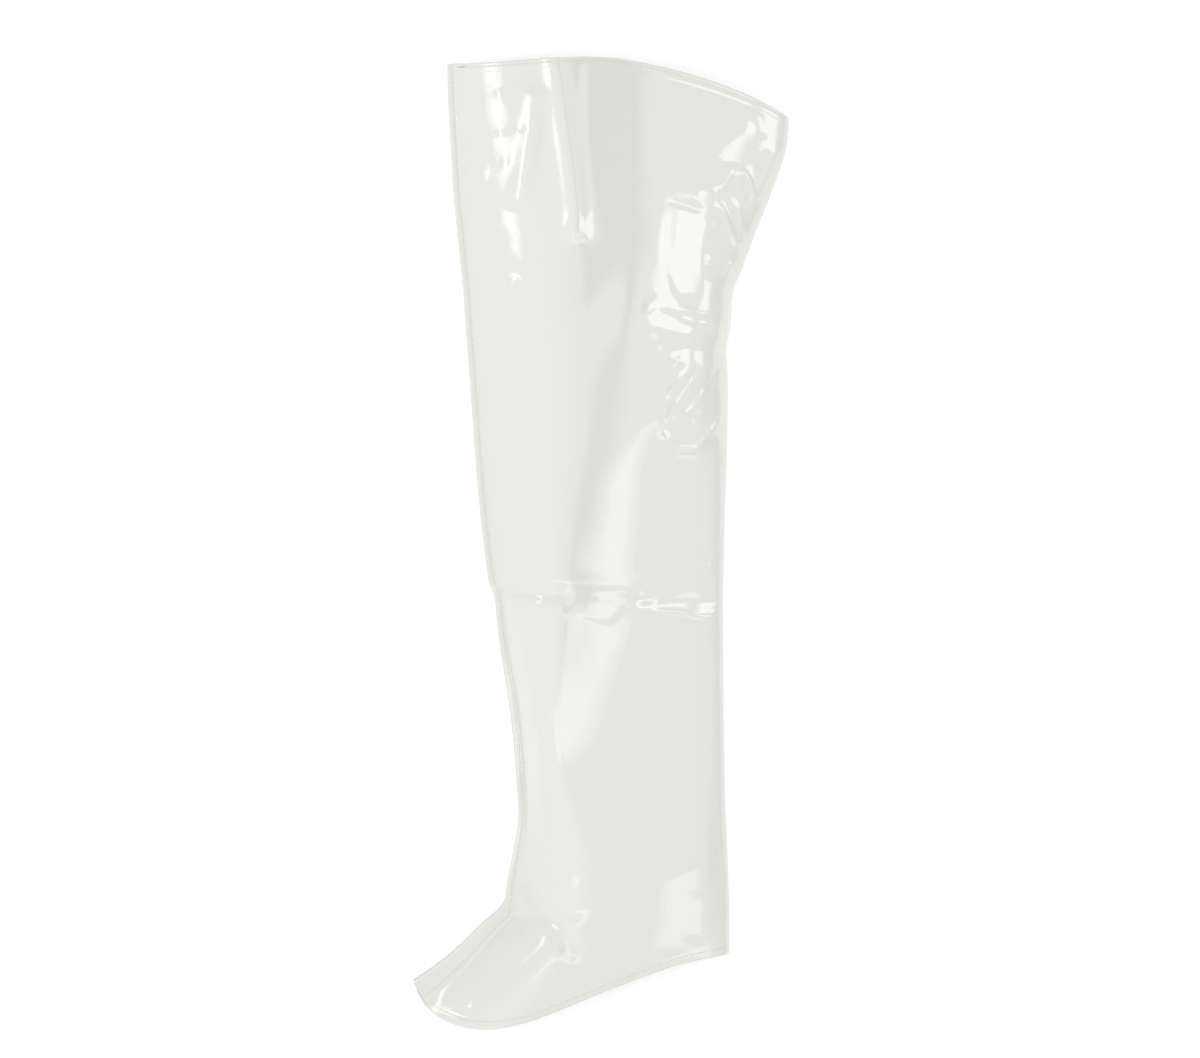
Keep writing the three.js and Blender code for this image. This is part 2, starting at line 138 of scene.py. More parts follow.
# Fine creases, given in millimetres of the frame: what it is, its form, height, width and
# path. A ridge has a sharp crest, a swell is soft, and a ledge is high on the right of its path.
RIDGE, SWELL, LEDGE = "ridge", "swell", "ledge"
CREASES = [
    ("thigh ridge", RIDGE, 0.9, 2, [
        (-33.5, 386.5), (-31, 370.5), (-26, 338.5), (-22, 314.5), (-19.5, 298.5), (-17.5, 282.5),
        (-15.5, 266.5), (-15.5, 249)]),
    ("thigh ridge's branch", RIDGE, 0.5, 2, [(-20.5, 268.5), (-27.5, 254.5), (-33.5, 241)]),
    ("edge of the thigh hollow", LEDGE, 0.8, 2.5, [(-14, 388.5), (-14, 306.5), (-14, 239.5)]),
    ("faint line over the thigh", RIDGE, 0.25, 3, [(-0.5, 302.5), (47.5, 290.5), (95.5, 278)]),
    ("long lens", SWELL, 1.5, 8, [(-49.5, 367.5), (-54, 334.5), (-60.5, 298.5), (-67, 263.5)]),
    ("long lens, lower dent", RIDGE, -0.5, 3, [(-74, 332.5), (-56.5, 330)]),
    ("front dimple", RIDGE, 0.6, 2.5, [(-83.5, 367.5), (-78, 350)]),
    ("front dimple, second", RIDGE, 0.5, 2, [(-82, 334), (-78, 322.5)]),
    ("front dimple, third", RIDGE, 0.6, 2.2, [(-91.5, 308.5), (-96.5, 281)]),
    ("front dimple, fourth", RIDGE, 0.7, 2.2, [(-103.5, 322.5), (-108.5, 308.5)]),
    ("front dimple, fifth", RIDGE, 0.7, 2, [(-104.5, 305), (-111.5, 289)]),
    ("front dimple, sixth", RIDGE, 0.7, 2, [(-113.5, 348.5), (-110, 334)]),
    ("front dimple, seventh", RIDGE, 0.6, 2, [(-109.5, 284.5), (-105.5, 265)]),
    ("front dimple, eighth", RIDGE, 0.6, 2, [(-107, 260.5), (-106, 246)]),
    ("front dimple, ninth", RIDGE, 0.6, 2, [(-66, 214), (-75, 202)]),
    ("front dimple, tenth", RIDGE, 0.5, 2, [(-74, 316.5), (-78, 294)]),
    ("collar's back patch", SWELL, 0.9, 7, [(118, 351.5), (125, 337), (130, 321)]),
    ("star, left ray", RIDGE, 1.8, 2.6, [(106, 305), (101, 290.5), (92.5, 277)]),
    ("star, middle ray", RIDGE, 0.9, 1.8, [(107.5, 304.5), (111.5, 290.5), (112.5, 277)]),
    ("star, right ray", RIDGE, 1.8, 2.4, [(109, 303.5), (117, 293), (122, 281), (126, 268.5)]),
    ("star, long ray", RIDGE, 1.8, 2, [(93, 276.5), (101, 257), (109, 239.5), (112.5, 229)]),
    ("star, curved ray", RIDGE, 1, 1.8, [
        (97, 275.5), (106.5, 270.5), (111.5, 262), (113, 246.5), (115.5, 232.5)]),
    ("star, tail", RIDGE, 1.2, 2.2, [(112.5, 230), (106, 224.5), (102, 217), (98.5, 208.5)]),
    ("back edge wrinkle", RIDGE, 1.4, 2.4, [
        (140.5, 322.5), (139.5, 308.5), (134.5, 297), (129, 284.5), (125, 273)]),
    ("back edge wrinkle, second", RIDGE, 0.5, 1.8, [(123.5, 268.5), (119.5, 247.5)]),
    ("back of the knee, top crease", RIDGE, -0.7, 2.2, [(50.5, 274), (65, 270), (86, 263.5)]),
    ("back of the knee, top patch", RIDGE, 0.6, 2.6, [(66.5, 284.5), (73, 276.5), (79.5, 269)]),
    ("back of the knee, left rim", LEDGE, 0.7, 3, [(54.5, 268.5), (50.5, 234.5), (57, 206.5), (65, 188.5)]),
    ("back of the knee, right rim", LEDGE, -0.6, 3, [(84.5, 263.5), (78, 234.5), (81, 204.5), (84.5, 190)]),
    ("slack below the knee patch", SWELL, 3, 35, [(-10, 188.5), (159.5, 167.5)]),
    ("slack above the tongue", LEDGE, -1.4, 8, [(31.5, 165), (111.5, 158.5)]),
    ("back of the knee, filled crease", SWELL, 2.2, 6.6, [
        (31.5, 188.5), (44.5, 186), (76.5, 176.5), (103.5, 157)]),
    ("back of the knee, first crease", RIDGE, 0.9, 1.6, [(60.5, 188.5), (73, 184.5), (90.5, 182)]),
    ("back of the knee, second crease", RIDGE, 0.8, 1.6, [(58.5, 180.5), (71.5, 177), (89, 173)]),
    ("back of the knee, end", RIDGE, 0.6, 2, [(84.5, 169), (92.5, 170.5), (95.5, 161)]),
    ("lower layer's edge", RIDGE, -0.9, 2, [(102.5, 157), (96.5, 145), (90.5, 134), (85, 116.5)]),
    ("tongue's rim, front", LEDGE, 0.5, 2.4, [
        (43.5, 167.5), (46, 146.5), (47.5, 126.5), (48.5, 108.5), (50, 94), (53, 84.5)]),
    ("tongue's rim, end", RIDGE, 1.8, 2.8, [
        (48.5, 92.5), (53, 84.5), (58.5, 77), (66.5, 74), (76.5, 75.5), (82, 82), (88.5, 89)]),
    ("tongue's rim, back", RIDGE, 1.5, 2.6, [
        (82, 82), (88.5, 89), (94.5, 97), (98, 111.5), (100.5, 127.5)]),
    ("tongue, first wrinkle", RIDGE, 0.7, 2.2, [(72.5, 142), (61, 127.5), (50.5, 114.5)]),
    ("tongue, second wrinkle", RIDGE, 0.6, 1.7, [(79.5, 138), (68.5, 122), (57, 106), (50.5, 90.5)]),
    ("tongue, third wrinkle", RIDGE, 0.6, 1.6, [(83.5, 134.5), (73, 120.5), (62, 104.5), (56.5, 90.5)]),
    ("tongue, short wrinkle", RIDGE, 0.5, 1.6, [(62.5, 115.5), (54.5, 104.5)]),
    ("tongue, fourth wrinkle", RIDGE, 0.7, 2, [(85, 127.5), (78, 113), (69, 103.5), (59.5, 96.5)]),
    ("tongue, fifth wrinkle", RIDGE, 0.7, 2.2, [(84.5, 110), (76.5, 101), (67.5, 98)]),
    ("tongue, top dimple", RIDGE, 0.8, 3, [(44.5, 166), (49, 158), (47.5, 148.5)]),
    ("tongue, second dimple", RIDGE, 0.7, 3, [(64.5, 150.5), (58, 139.5)]),
    ("storage fold, upper edge", LEDGE, 0.35, 1.6, [
        (-84.5, -34), (-48.5, -35), (15.5, -36.5), (47.5, -39), (97, -35.5)]),
    ("storage fold, front line", RIDGE, 0.6, 1.4, [
        (-73.5, -43.5), (-55.5, -44.5), (-51, -47.5), (-44.5, -42)]),
    ("storage fold, front arc", RIDGE, 0.4, 2.5, [(-39.5, -35.5), (-32.5, -47), (-28.5, -63)]),
    ("storage fold, front dimple", RIDGE, 0.5, 1.6, [(-65.5, -58), (-64.5, -69.5)]),
    ("storage fold, middle", LEDGE, -0.4, 1.8, [(-23, -55), (-8.5, -60.5), (9, -62), (20.5, -45.5)]),
    ("storage fold, flat part", SWELL, 1.9, 6.6, [(-31, -41.5), (34.5, -43)]),
    ("storage fold, back part", SWELL, 1.3, 6.6, [(34.5, -43), (103.5, -45.5)]),
    ("storage fold, back hollow", SWELL, -1, 11, [(31.5, -43), (98.5, -45.5)]),
    ("storage fold, wedge", RIDGE, 0.5, 2.6, [
        (29, -55), (41, -48.5), (55.5, -43), (71.5, -39), (84.5, -43.5)]),
    ("storage fold, lower line", RIDGE, 0.9, 1.6, [(36.5, -54), (59.5, -55), (85, -59), (97, -54)]),
    ("storage fold, tick", RIDGE, 0.6, 1.6, [(79.5, -19), (94.5, -20.5)]),
    ("storage fold, marks", RIDGE, 0.5, 1.3, [(86, -38), (96.5, -35.5)]),
    ("storage fold, marks, second", RIDGE, 0.5, 1.2, [(89, -39.5), (90, -48.5)]),
    ("storage fold, marks, third", RIDGE, 0.5, 1.2, [(94, -39.5), (94, -48.5), (89, -50), (97, -50)]),
    ("shin line", RIDGE, 0.4, 1.6, [(-38, -123.5), (-44.5, -145.5), (-51, -168.5)]),
    ("ankle hollow", SWELL, -3.4, 44, [(-96.5, -259.5), (143.5, -259.5)]),
    ("instep wrinkle", RIDGE, 0.8, 2.2, [
        (-65.5, -253.5), (-59.5, -260.5), (-55, -267.5), (-50, -277.5), (-43.5, -288.5), (-32.5, -301.5)]),
    ("instep wrinkle, second", RIDGE, 0.7, 2, [
        (-70, -275.5), (-62, -288.5), (-55.5, -301.5), (-51, -312.5)]),
    ("instep hollow", SWELL, -0.5, 5, [(-69.5, -287.5), (-61.5, -309.5), (-52.5, -327)]),
    ("instep swell", SWELL, 0.9, 4.5, [(-86, -298), (-87.5, -317.5), (-91.5, -336.5)]),
    ("instep wrinkle, faint", RIDGE, 0.3, 3, [(-32.5, -301.5), (-23.5, -320.5), (-19, -339.5)]),
    ("toe facet", LEDGE, -0.9, 2.5, [(-119, -333.5), (-126, -349.5), (-128.5, -375)]),
    ("toe dimple", RIDGE, 0.6, 1.8, [(-122, -352.5), (-119, -368.5)]),
    ("toe dimple, second", RIDGE, 0.5, 1.6, [(-111, -371), (-101.5, -373.5)]),
    ("toe dimple, third", RIDGE, 0.5, 1.6, [(-142, -351), (-138, -359)]),
    ("heel facet", SWELL, 0.7, 11, [(84.5, -274), (71.5, -321.5)]),
    ("heel fold line", LEDGE, 0.4, 2, [(89, -181.5), (88.5, -237.5), (89, -279)]),
]
# Length of a crease's soft ends, how rounded a ridge's crest is, how many widths a ridge or swell
# reaches, and how far a ledge fades and reaches.
END_FADE = 12.0
CREST_ROUNDNESS = 0.35
CREASE_WIDTHS = 6
LEDGE_FADE = 16.0
LEDGE_REACH = 40.0

# Fineness of the shell: points round the tube and rows along it, outside, inside and in the hems,
# and turns of the rolled edges in shares of half a circle.
TOP_POINTS = 140
BOTTOM_POINTS = 18
OUTER_ROWS = 450
INNER_ROWS = 108
HEM_INNER_ROWS = 4
CAP_TURNS = (0.25, 0.5, 0.75)
# How much closer the points of a panel lie at the fold, how far that reaches, and the same two at
# the seam.
TOP_CROWDING = 2.5, 5, 1.0, 6
BOTTOM_CROWDING = 9, 5, 1.5, 12
# The same for the rows at the collar and the foot, with the power of its dying out.
CROWDING = 2.5
CROWDED_REACH = 11.0
CROWDED_POWER = 4
# The inside starts this share of the steps past the place where the hollow opens, with the power of
# that shift's dying out, and a ring ends just short of its own start.
INNER_START_SHARE = 0.012
INNER_FADE = 8
RING_END = 0.999
# The lining starts this far beyond the hems' inner edges.
LINING_START = 0.3
FRONT_SHARE = 0.43
# Steps of curves and searches: the row that a panel's points are spaced by, the samples of a run,
# steps for each point of a table and a path, halvings of a search, and small steps that give a
# direction: along a panel, along the front seam and from row to row.
SAMPLE_ROW = 0.45
RUN_SAMPLES = 4001
TABLE_STEPS = 8
PATH_STEPS = 6
HALVINGS = 30
NUDGE_SHARE = 0.004
TANGENT_STEP = 1e-4
NORMAL_STEP = 1e-3
# Points of the skin that lie closer than this, in metres, become one.
MERGE_DISTANCE = 1e-7
# The cloth's map ends this far past the last row, where the skin closes on its first.
MAP_CLOSING = 1

# Topstitching: how far the collar's and the foot's rows are from the edge, the seam's share across
# its edge, the groove it pulls in, and the step past the end of the turned-in hem.
COLLAR_STITCH = 3.8
FOOT_STITCH = 7.0
SEAM_STITCH = 0.72
THREAD_PROUD = 0.25
GROOVE_DEPTH = 0.15
GROOVE_WIDTH = 0.7
HEM_STEP = 0.3
HEM_STEP_BEYOND = 0.5
HEM_STEP_SOFTNESS = 0.4
# Start and end of the seam's stitching in shares of the leg, and the points along it.
SEAM_RUN = 0.004, 0.996
SEAM_POINTS = 400
# Each stitch is a spindle with a few sides and rings, turned a little at random.
THREAD_SIDES = 6
THREAD_RINGS = 8
STITCH_SEED = 5
STITCH_SKEW = 0.03

# Front seam's edge: across it in shares of its width, and height from its middle in shares of the wall.
SEAM_TOP = [(0, -0.4), (0.06, 0.05), (0.17, 0.25), (0.58, 0.66), (0.72, 0.62), (0.86, 0.92), (0.95, 0.94)]
SEAM_BOTTOM = [(0.9, -1.0), (0.72, -0.85), (0.5, -1.0), (0.17, -1.0), (0.05, -0.7)]


def spline(points, at):
    """Uniform Catmull-Rom curve through the points, at shares of its length in points."""
    last = len(points) - 1
    place = np.clip(at, 0, 1) * last
    index = np.minimum(place.astype(int), last - 1)
    t = (place - index)[..., None]
    p0 = points[np.maximum(index - 1, 0)]
    p1 = points[index]
    p2 = points[index + 1]
    p3 = points[np.minimum(index + 2, last)]
    v0 = (p2 - p0) / 2
    v1 = (p3 - p1) / 2
    cubic = (2 * p1 - 2 * p2 + v0 + v1) * t**3
    return cubic + (-3 * p1 + 3 * p2 - 2 * v0 - v1) * t**2 + v0 * t + p1


def smooth(table, at):
    samples = spline(table.astype(float), np.linspace(0, 1, TABLE_STEPS * len(table) + 1))
    return np.interp(at, samples[:, 0], samples[:, 1])


TO_TOE = FOOT_LENGTH - ANKLE * SHAFT_DEPTH
FRONT = np.stack([-ROWS[:, 1] * SHAFT_DEPTH - ROWS[:, 2] * TO_TOE, -ROWS[:, 0] * LEG_LENGTH], 1)
BACK = np.stack([ROWS[:, 4] * BACK_FLARE, -ROWS[:, 3] * LEG_LENGTH], 1)
LOFTS = (ROWS[:, 5] * LOFT)[:, None]
CRESTS = ROWS[:, 6:]
# The heel line in the frame, and the line that shares of LEG_LENGTH run down from. The collar's
# highest point lies COLLAR_DROP below that line.
COLLAR_DROP = 2.55
HEEL_X = UPPER_HIGH.x / MM - BACK_FLARE
CREST_Y = UPPER_HIGH.y / MM + COLLAR_DROP


def rows_at(along):
    """The section's row at each share along the leg, as columns of numbers."""
    front = spline(FRONT, along)
    back = spline(BACK, along)
    across = back - front
    width = np.linalg.norm(across, axis=1)
    across = across / width[:, None]
    tangent = spline(FRONT, along + TANGENT_STEP) - spline(FRONT, along - TANGENT_STEP)
    tangent /= np.linalg.norm(tangent, axis=1)[:, None]
    slant = np.abs(across[:, 0] * tangent[:, 1] - across[:, 1] * tangent[:, 0])
    place = along * LAST_ROW
    return {
        "front": front,
        "across": across,
        "width": width[:, None],
        "edge": (SEAM_EDGE / np.maximum(slant, SLANT_SHARE))[:, None],
        "loft": spline(LOFTS, along),
        "crest": spline(CRESTS, along),
        "arch": (COLLAR_RISE * np.maximum(0, 1 - place / COLLAR_ROWS) ** COLLAR_FADE)[:, None],
        "bow": (HEM_BOW * np.maximum(0, 1 - (LAST_ROW - place) / HEM_ROWS) ** HEM_FADE)[:, None],
    }


def arch_at(row, step):
    front_out = 1 - step / FRONT_SHARE
    back_out = np.sin(np.clip((step - FRONT_SHARE) / (1 - FRONT_SHARE), 0, 1) * np.pi / 2)
    in_front = step < FRONT_SHARE
    back_share = row["crest"] + (1 - row["crest"]) * back_out
    share = np.where(in_front, row["crest"] * (1 - front_out), back_share)
    front_height = 1 - np.clip(front_out, 0, 1) ** FLATNESS
    back_height = np.maximum(0, 1 - back_out**FLATNESS) ** BACK_ROUNDNESS
    return share, np.where(in_front, front_height, back_height)


def upper_panel(row, step, wall):
    share, height = arch_at(row, step)
    foot = (SEAM_LIFT + wall) * (1 - share) + FOLD_RISE * share
    across = row["edge"] * (1 - share) + row["width"] * share
    return across, foot * (1 - height) + row["loft"] * height


def lower_panel(row, step, wall):
    share = arch_at(row, step)[0]
    across = row["edge"] * (1 - share) + row["width"] * share
    ease = np.clip(1 - (across - row["edge"]) / SEAM_EASE, 0, 1)
    out = np.clip((across - row["width"] + FOLD_REACH) / FOLD_REACH, 0, 1)
    return across, (SEAM_LIFT - wall) * ease**2 + FOLD_RISE * (1 - np.sqrt(1 - out**2))


def inside(panel, row, step, wall, inset, turn):
    """Points of a panel, moved inwards by inset."""
    across, height = panel(row, step, wall)
    a0, h0 = panel(row, np.maximum(0, step - NUDGE_SHARE), wall)
    a1, h1 = panel(row, np.minimum(1, step + NUDGE_SHARE), wall)
    length = np.hypot(a1 - a0, h1 - h0)
    return across + turn * inset * (h1 - h0) / length, height - turn * inset * (a1 - a0) / length


def hollow_from(row, wall, inset):
    """The step at which each row is wide enough to be hollow inside that inset."""
    low = np.zeros_like(row["width"])
    high = low + 0.5
    for _ in range(HALVINGS):
        step = (low + high) / 2
        room = upper_panel(row, step, wall)[1] - lower_panel(row, step, wall)[1] - 2 * inset
        low = np.where(room < SEAM_GAP, step, low)
        high = np.where(room < SEAM_GAP, high, step)
    return high


def distance_to(path, x, y):
    """Distance from points to a path, its sign by the side, and the place along it."""
    points = spline(np.array(path, float), np.linspace(0, 1, PATH_STEPS * (len(path) - 1) + 1))
    best = np.full(x.shape, np.inf)
    side = np.ones(x.shape)
    place = np.zeros(x.shape)
    run = 0.0
    for (ax, ay), (bx, by) in zip(points[:-1], points[1:]):
        dx, dy = bx - ax, by - ay
        length = np.hypot(dx, dy)
        t = np.clip(((x - ax) * dx + (y - ay) * dy) / length**2, 0, 1)
        ox, oy = x - ax - t * dx, y - ay - t * dy
        away = np.hypot(ox, oy)
        near = away < best
        best = np.where(near, away, best)
        side = np.where(near, np.sign(dy * (x - ax) - dx * (y - ay)), side)
        place = np.where(near, run + t * length, place)
        run += length
    return best, side, place, run


def folds_at(x, y):
    """Height of the main folds at points of the frame."""
    total = np.zeros(x.shape)
    for width, height, path in FOLDS:
        best = np.full(x.shape, np.inf)
        points = [(HEEL_X - a * SHAFT_DEPTH, CREST_Y - d * LEG_LENGTH) for a, d in path]
        for (ax, ay), (bx, by) in zip(points[:-1], points[1:]):
            dx, dy = bx - ax, by - ay
            t = np.clip(((x - ax) * dx + (y - ay) * dy) / (dx * dx + dy * dy), 0, 1)
            best = np.minimum(best, np.hypot(x - ax - t * dx, y - ay - t * dy))
        total += height * LOFT * np.exp(-((best / (width * LOFT)) ** 2))
    return total


def creases_at(x, y):
    """Height of the fine creases at points of the frame."""
    total = np.zeros(x.shape)
    for _, form, height, width, path in CREASES:
        reach = CREASE_WIDTHS * width if form != LEDGE else LEDGE_REACH
        xs, ys = [p[0] for p in path], [p[1] for p in path]
        near = (x > min(xs) - reach) & (x < max(xs) + reach) & (y > min(ys) - reach) & (y < max(ys) + reach)
        if not near.any():
            continue
        away, side, place, run = distance_to(path, x[near], y[near])
        if form == RIDGE:
            profile = np.exp(CREST_ROUNDNESS - np.sqrt((away / width) ** 2 + CREST_ROUNDNESS**2))
        elif form == SWELL:
            profile = np.exp(-((away / width) ** 2))
        else:
            profile = 0.5 * np.tanh(side * away / width) * np.exp(-((away / LEDGE_FADE) ** 2))
        fade_length = min(max(END_FADE, width), run / 2)
        ends = np.clip(np.minimum(place, run - place) / fade_length, 0, 1)
        ends = ends * ends * (3 - 2 * ends)
        total[near] += height * profile * ends
    return total


def relief_at(x, y):
    return folds_at(x, y) + creases_at(x, y)


def hems_at(along, depth):
    """Height of the doubled hems at the rows, with the grooves of their stitching."""
    total = np.zeros(along.shape)
    for from_edge, stitch in (
        (along / hem_share(0, 1.0), COLLAR_STITCH),
        ((1 - along) / hem_share(1, 1.0), FOOT_STITCH),
    ):
        beyond = from_edge - depth - HEM_STEP_BEYOND
        total += HEM_STEP * (0.5 - 0.5 * np.tanh(beyond / HEM_STEP_SOFTNESS / 2))
        total -= GROOVE_DEPTH * np.exp(-(((from_edge - stitch) / GROOVE_WIDTH) ** 2))
    return total[:, None]


def to_frame(row, across, height):
    """Points of the frame at distances across each row, with the collar's arch and the foot's bow."""
    share = across / row["width"]
    x = row["front"][:, :1] + row["across"][:, :1] * across
    y = row["front"][:, 1:] + row["across"][:, 1:] * across
    y = y + row["arch"] * smooth(COLLAR_ARCH, share) - row["bow"] * smooth(FOOT_BOW, share)
    return np.stack([x + HEEL_X, y + CREST_Y, height + 0 * across], -1)


def even_spread(run, weight, places, count):
    """Places that lie evenly along a run, and closer together where its weight is greater."""
    total = np.concatenate([[0], np.cumsum((weight[1:] + weight[:-1]) / 2 * np.diff(run))])
    return np.interp(np.linspace(0, total[-1], count), total, places)


def even_steps(panel, count, wall, fold_weight, fold_reach, seam_weight, seam_reach):
    """Steps that lie evenly along a panel, and closer together near the fold and the seam."""
    row = rows_at(np.array([SAMPLE_ROW]))
    steps = np.linspace(0, 1, RUN_SAMPLES)
    across, height = panel(row, steps[None], wall)
    run = np.concatenate([[0], np.cumsum(np.hypot(np.diff(across[0]), np.diff(height[0])))])
    from_fold = run[-1] - run
    weight = 1 + fold_weight * np.exp(-from_fold / fold_reach) + seam_weight * np.exp(-run / seam_reach)
    return even_spread(run, weight, steps, count)


class Section:
    """Points round the tube, for all rows at once."""

    def __init__(self, wall, hem_depth):
        self.wall = wall
        self.hem_depth = hem_depth
        self.top = even_steps(upper_panel, TOP_POINTS, wall, *TOP_CROWDING)
        self.bottom = even_steps(lower_panel, BOTTOM_POINTS + 1, wall, *BOTTOM_CROWDING)[:-1]

    def outer(self, along):
        row = rows_at(along)
        seam_top = np.array(SEAM_TOP)
        seam_bottom = np.array(SEAM_BOTTOM)
        flat = np.ones_like(row["width"])
        parts = [
            (row["edge"] * seam_top[None, :, 0], SEAM_LIFT + flat * self.wall * seam_top[None, :, 1]),
            upper_panel(row, self.top[None] * flat, self.wall),
            lower_panel(row, self.bottom[None, ::-1] * flat, self.wall),
            (row["edge"] * seam_bottom[None, :, 0], SEAM_LIFT + flat * self.wall * seam_bottom[None, :, 1]),
        ]
        across = np.concatenate([p[0] for p in parts], 1)
        height = np.concatenate([p[1] for p in parts], 1)
        arch = arch_at(row, self.top[None])[1]
        points = self.finish(row, across, height, arch)
        begin = len(SEAM_TOP)
        fade = np.minimum(1, FOLD_FADE * arch)
        points[:, begin:begin + TOP_POINTS, 2] += fade * hems_at(along, self.hem_depth)
        return points

    def inner(self, along, inset):
        row = rows_at(along)
        start = hollow_from(row, self.wall, inset)
        first = start + INNER_START_SHARE
        top = self.top[None] + first * (1 - self.top[None]) ** INNER_FADE
        bottom = self.bottom[None, ::-1] + first * (1 - self.bottom[None, ::-1]) ** INNER_FADE
        lead = np.linspace(0, 1, len(SEAM_TOP), endpoint=False)[None] * INNER_START_SHARE
        trail = np.linspace(1, 0, len(SEAM_BOTTOM), endpoint=False)[None] * INNER_START_SHARE
        top = np.concatenate([start + lead, top], 1)
        bottom = np.concatenate([bottom, start + trail * RING_END], 1)
        upper = inside(upper_panel, row, top, self.wall, inset, 1)
        lower = inside(lower_panel, row, bottom, self.wall, inset, -1)
        across = np.concatenate([upper[0], lower[0]], 1)
        height = np.concatenate([upper[1], lower[1]], 1)
        lead_arch = arch_at(row, top[:, :len(SEAM_TOP)])[1]
        return self.finish(row, across, height, arch_at(row, top[:, len(SEAM_TOP):])[1], lead_arch)

    def finish(self, row, across, height, arch, lead_arch=None):
        points = to_frame(row, across, height)
        fade = np.zeros(across.shape)
        begin = len(SEAM_TOP)
        fade[:, begin:begin + TOP_POINTS] = np.minimum(1, FOLD_FADE * arch)
        if lead_arch is not None:
            fade[:, :begin] = np.minimum(1, FOLD_FADE * lead_arch)
        on = fade > 0
        lift = np.zeros(across.shape)
        lift[on] = relief_at(points[..., 0][on], points[..., 1][on])
        points[..., 2] += fade * lift
        return points


def hem_share(end, depth):
    """Share of the leg's length that a hem's depth takes up at one end."""
    beside = abs(end - 1 / LAST_ROW)
    gap = np.linalg.norm(spline(BACK, np.array([float(end)])) - spline(BACK, np.array([beside])))
    return depth / gap / LAST_ROW


def even_rows(start, end, count, crowding=0.0):
    """Shares along the leg that lie evenly along its middle line, or closer together at its ends."""
    along = np.linspace(start, end, RUN_SAMPLES)
    middle = (spline(FRONT, along) + spline(BACK, along)) / 2
    run = np.concatenate([[0], np.cumsum(np.linalg.norm(np.diff(middle, axis=0), axis=1))])
    from_end = np.minimum(run, run[-1] - run)
    weight = 1 + crowding * np.exp(-((from_end / CROWDED_REACH) ** CROWDED_POWER))
    return even_spread(run, weight, along, count)


def shell_rows(sizes):
    """The rows of the shell as rings of points, outside, over the foot's fold, inside and back."""
    wall = sizes.wall / MM
    depth = sizes.hem_depth / MM
    section = Section(wall, depth)
    hem_inset = wall + CLEARANCE + wall
    radius = hem_inset / 2
    collar = hem_share(0, depth) / depth
    sole = hem_share(1, depth) / depth
    outer = section.outer(even_rows(collar * radius, 1 - sole * radius, OUTER_ROWS, CROWDING))
    hem_places = np.linspace(radius, depth, HEM_INNER_ROWS)
    sole_hem = section.inner(1 - sole * hem_places, hem_inset)
    collar_hem = section.inner(collar * hem_places[::-1], hem_inset)
    lining_from = depth + LINING_START
    skin = section.inner(even_rows(1 - sole * lining_from, collar * lining_from, INNER_ROWS), wall)
    turns = np.array(CAP_TURNS) * np.pi

    def cap(near, far, beyond):
        out = near - beyond
        out[:, 2] = 0
        out /= np.linalg.norm(out, axis=1)[:, None]
        return [near + (far - near) * (1 - np.cos(t)) / 2 + out * radius * np.sin(t) for t in turns]

    sole_cap = cap(outer[-1], sole_hem[0], outer[-3])
    collar_cap = cap(outer[0], collar_hem[-1], outer[2])
    rings = [*outer, *sole_cap, *sole_hem, *skin, *collar_hem, *collar_cap[::-1]]
    knit_from = len(outer) + len(sole_cap) + len(sole_hem) - 1
    knit_to = knit_from + len(skin) + 1
    return np.array(rings), knit_from, knit_to


def add_object(name, data):
    made = bpy.data.objects.new(name, data)
    bpy.context.collection.objects.link(made)
    return made


def build_shell(name, sizes):
    """One closed skin from a grid: rings round the tube by rows along it, joined both ways."""
    rings, knit_from, knit_to = shell_rows(sizes)
    count, around = rings.shape[:2]
    bm = bmesh.new()
    bmesh.ops.create_grid(bm, x_segments=around, y_segments=count, size=1)
    mesh = bpy.data.meshes.new(name)
    bm.to_mesh(mesh)
    bm.free()
    columns, lines = around + 1, count + 1
    assert len(mesh.vertices) == columns * lines
    index = np.arange(columns * lines)
    column = (index % columns) % around
    line = (index // columns) % count
    mesh.vertices.foreach_set("co", (rings[line, column] * MM).astype(np.float32).ravel())
    # The cloth's own map: metres round the tube and metres along it.
    closed = np.concatenate([rings, rings[:, :1]], 1)
    round_run = np.zeros((count, columns))
    round_run[:, 1:] = np.cumsum(np.linalg.norm(np.diff(closed, axis=1), axis=2), axis=1)
    centre = len(SEAM_TOP) + TOP_POINTS // 2
    round_run -= round_run[:, centre:centre + 1]
    along_run = np.concatenate([[0], np.cumsum(np.linalg.norm(np.diff(rings[:, centre], axis=0), axis=1))])
    uv = np.stack([round_run[line, index % columns], along_run[line]], 1) * MM
    uv[index // columns == count, 1] = (along_run[-1] + MAP_CLOSING) * MM
    corners = np.zeros(len(mesh.loops), int)
    mesh.loops.foreach_get("vertex_index", corners)
    layer = mesh.uv_layers.new(name="cloth")
    layer.data.foreach_set("uv", uv[corners].astype(np.float32).ravel())
    faces = np.arange(count * around) // around
    knit = (faces >= knit_from) & (faces < knit_to)
    mesh.polygons.foreach_set("material_index", knit.astype(np.int32))
    mesh.polygons.foreach_set("use_smooth", np.ones(len(faces), bool))
    bm = bmesh.new()
    bm.from_mesh(mesh)
    bmesh.ops.remove_doubles(bm, verts=bm.verts, dist=MERGE_DISTANCE)
    if bm.calc_volume(signed=True) < 0:
        bmesh.ops.reverse_faces(bm, faces=bm.faces)
    bm.to_mesh(mesh)
    bm.free()
    return add_object(name, mesh)


def unit(vectors):
    return vectors / np.linalg.norm(vectors, axis=-1, keepdims=True)


